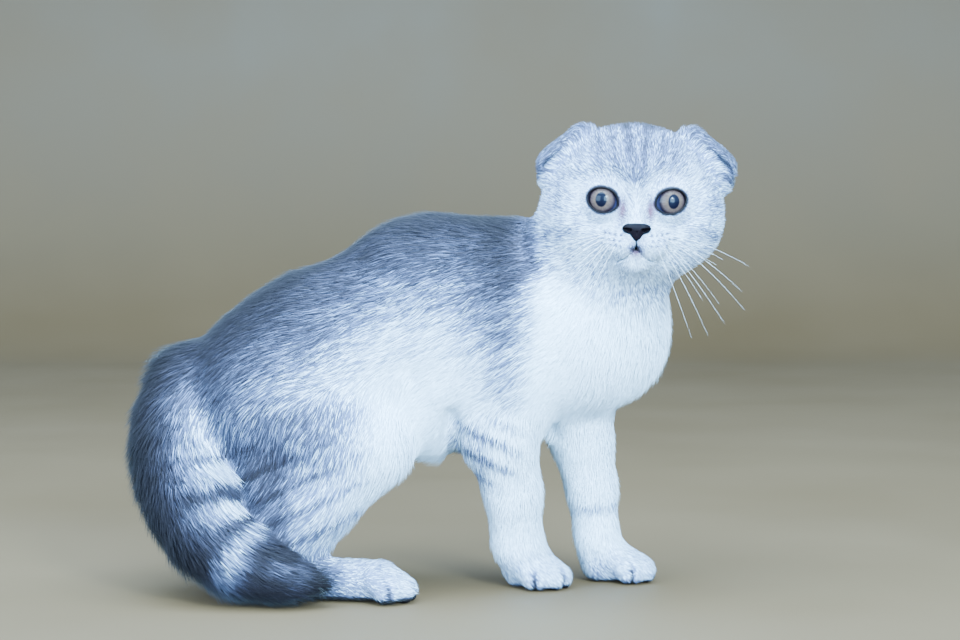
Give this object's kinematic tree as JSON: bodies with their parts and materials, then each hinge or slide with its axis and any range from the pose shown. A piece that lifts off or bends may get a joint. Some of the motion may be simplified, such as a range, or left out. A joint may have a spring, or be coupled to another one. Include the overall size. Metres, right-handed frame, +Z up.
{
  "type": "scottish fold cat",
  "caption": "Life-size still model of a fold-eared silver shorthair kitten, standing side-on with arched back, head turned to face sideways and tail curled forward on the floor.",
  "frame": {"origin": "the middle of the overall box, on the floor", "axes": "+X the way the body faces, along the longest extent; +Z up; the face looks towards -Y"},
  "size_m": [0.2714, 0.129, 0.2114],
  "materials": {
    "coat": null,
    "eye": "glossy grey-olive iris with a dark blue upright oval pupil",
    "dark_skin": "bare purple-black skin of the nose and the rims of the eyes"
  },
  "bodies": {
    "root": {"head": "coat", "face": "coat", "muzzle": "coat", "neck": "coat", "torso": "coat", "ear_left": "coat", "ear_right": "coat", "front_near_leg": "coat", "front_near_paw": "coat", "front_far_leg": "coat", "front_far_paw": "coat", "hind_near_leg": "coat", "hind_near_paw": "coat", "hind_far_leg": "coat", "hind_far_paw": "coat", "tail_root": "coat", "tail_middle": "coat", "tail_tip": "coat", "eye_left": "eye", "eye_right": "eye", "lids_left": "dark_skin", "lids_right": "dark_skin", "nose": "dark_skin"}
  },
  "joints": []
}
